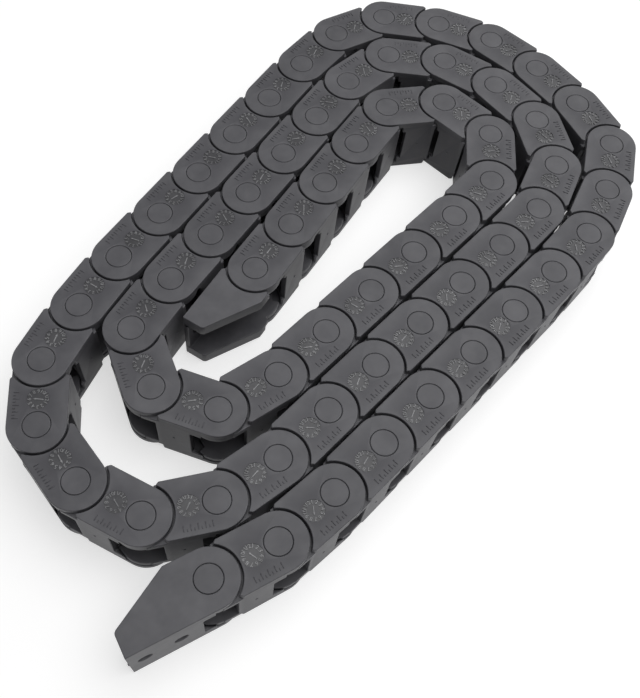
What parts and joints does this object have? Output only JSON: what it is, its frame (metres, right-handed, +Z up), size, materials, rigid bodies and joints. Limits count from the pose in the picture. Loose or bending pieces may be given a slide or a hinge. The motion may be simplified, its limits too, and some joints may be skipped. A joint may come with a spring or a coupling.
{
  "type": "cable drag chain",
  "caption": "Closed plastic cable drag chain, coiled on its side, of hinged box links with a screw-on end bracket at each end.",
  "frame": {"origin": "on the surface the chain lies on, below the middle of the coil's footprint", "axes": "+Z up, along the pivots; +X along the outer straight run, towards the first turn; +Y from the outer run towards the inner turns"},
  "size_m": [0.186, 0.102, 0.0166],
  "materials": {
    "black_nylon": "satin, fine moulded texture"
  },
  "bodies": {
    "coil": {"link_18": "black_nylon", "link_19": "black_nylon", "link_20": "black_nylon", "link_21": "black_nylon", "link_22": "black_nylon", "link_23": "black_nylon", "link_24": "black_nylon", "link_25": "black_nylon", "link_26": "black_nylon", "link_27": "black_nylon", "link_28": "black_nylon", "link_29": "black_nylon", "links_30_31": "black_nylon", "links_32_33": "black_nylon", "link_34": "black_nylon", "link_35": "black_nylon", "link_36": "black_nylon", "link_37": "black_nylon", "link_38": "black_nylon", "link_39": "black_nylon", "link_40": "black_nylon", "link_41": "black_nylon", "link_42": "black_nylon", "link_43": "black_nylon", "link_44": "black_nylon", "link_45": "black_nylon", "link_46": "black_nylon", "link_47": "black_nylon", "link_48": "black_nylon", "link_49": "black_nylon", "link_50": "black_nylon", "links_51_52": "black_nylon", "links_53_54": "black_nylon", "link_55": "black_nylon", "link_56": "black_nylon", "link_57": "black_nylon", "link_58": "black_nylon", "link_59": "black_nylon"},
    "link_17": {"link_17": "black_nylon"},
    "link_16": {"link_16": "black_nylon"},
    "link_15": {"link_15": "black_nylon"},
    "link_14": {"link_14": "black_nylon"},
    "link_13": {"link_13": "black_nylon"},
    "link_12": {"link_12": "black_nylon"},
    "link_11": {"link_11": "black_nylon"},
    "link_10": {"link_10": "black_nylon"},
    "link_09": {"link_09": "black_nylon"},
    "link_08": {"link_08": "black_nylon"},
    "outer_run": {"link_03": "black_nylon", "link_04": "black_nylon", "link_05": "black_nylon", "link_06": "black_nylon", "link_07": "black_nylon"},
    "link_02": {"link_02": "black_nylon"},
    "link_01": {"link_01": "black_nylon"},
    "outer_end_bracket": {"outer_end_bracket": "black_nylon"},
    "link_60": {"link_60": "black_nylon"},
    "link_61": {"link_61": "black_nylon"},
    "link_62": {"link_62": "black_nylon"},
    "inner_end_bracket": {"inner_end_bracket": "black_nylon"}
  },
  "joints": [
    {"name": "pivot_18", "type": "hinge", "parent": "coil", "child": "link_17", "pos_m": [0.04073, 0.04326, 0.0083], "axis": [0, 0, -1], "range_deg": [-5, 0]},
    {"name": "pivot_17", "type": "hinge", "parent": "link_17", "child": "link_16", "pos_m": [0.05609, 0.0446, 0.0083], "axis": [0, 0, -1], "range_deg": [-23, 0]},
    {"name": "pivot_16", "type": "hinge", "parent": "link_16", "child": "link_15", "pos_m": [0.07077, 0.03984, 0.0083], "axis": [0, 0, -1], "range_deg": [-35, 0]},
    {"name": "pivot_15", "type": "hinge", "parent": "link_15", "child": "link_14", "pos_m": [0.08005, 0.02752, 0.0083], "axis": [0, 0, -1], "range_deg": [-14, 0]},
    {"name": "pivot_14", "type": "hinge", "parent": "link_14", "child": "link_13", "pos_m": [0.08608, 0.01331, 0.0083], "axis": [0, 0, -1], "range_deg": [-21, 0]},
    {"name": "pivot_13", "type": "hinge", "parent": "link_13", "child": "link_12", "pos_m": [0.08662, -0.00211, 0.0083], "axis": [0, 0, -1], "range_deg": [-11, 0]},
    {"name": "pivot_12", "type": "hinge", "parent": "link_12", "child": "link_11", "pos_m": [0.08421, -0.01734, 0.0083], "axis": [0, 0, -1], "range_deg": [-11, 0]},
    {"name": "pivot_11", "type": "hinge", "parent": "link_11", "child": "link_10", "pos_m": [0.07893, -0.03184, 0.0083], "axis": [0, 0, -1], "range_deg": [-40, 0]},
    {"name": "pivot_10", "type": "hinge", "parent": "link_10", "child": "link_09", "pos_m": [0.06557, -0.03956, 0.0083], "axis": [0, 0, -1], "range_deg": [-13, 0]},
    {"name": "pivot_09", "type": "hinge", "parent": "link_09", "child": "link_08", "pos_m": [0.05081, -0.04407, 0.0083], "axis": [0, 0, -1], "range_deg": [-15, 0]},
    {"name": "pivot_08", "type": "hinge", "parent": "link_08", "child": "outer_run", "pos_m": [0.0354, -0.0446, 0.0083], "axis": [0, 0, -1], "range_deg": [-2, 0]},
    {"name": "pivot_03", "type": "hinge", "parent": "outer_run", "child": "link_02", "pos_m": [-0.04175, -0.0446, 0.0083], "axis": [0, 0, -1], "range_deg": [-4, 0]},
    {"name": "pivot_02", "type": "hinge", "parent": "link_02", "child": "link_01", "pos_m": [-0.05714, -0.04353, 0.0083], "axis": [0, 0, -1], "range_deg": [-13, 3]},
    {"name": "pivot_01", "type": "hinge", "parent": "link_01", "child": "outer_end_bracket", "pos_m": [-0.07189, -0.03902, 0.0083], "axis": [0, 0, -1], "range_deg": [-1, 25]},
    {"name": "pivot_60", "type": "hinge", "parent": "coil", "child": "link_60", "pos_m": [0.03064, 0.01434, 0.0083], "axis": [0, 0, 1], "range_deg": [-1, 1]},
    {"name": "pivot_61", "type": "hinge", "parent": "link_60", "child": "link_61", "pos_m": [0.01549, 0.01139, 0.0083], "axis": [0, 0, 1], "range_deg": [0, 3]},
    {"name": "pivot_62", "type": "hinge", "parent": "link_61", "child": "link_62", "pos_m": [0.00035, 0.00845, 0.0083], "axis": [0, 0, 1], "range_deg": [0, 6]},
    {"name": "pivot_63", "type": "hinge", "parent": "link_62", "child": "inner_end_bracket", "pos_m": [-0.0148, 0.0055, 0.0083], "axis": [0, 0, 1], "range_deg": [-1, 21]}
  ]
}
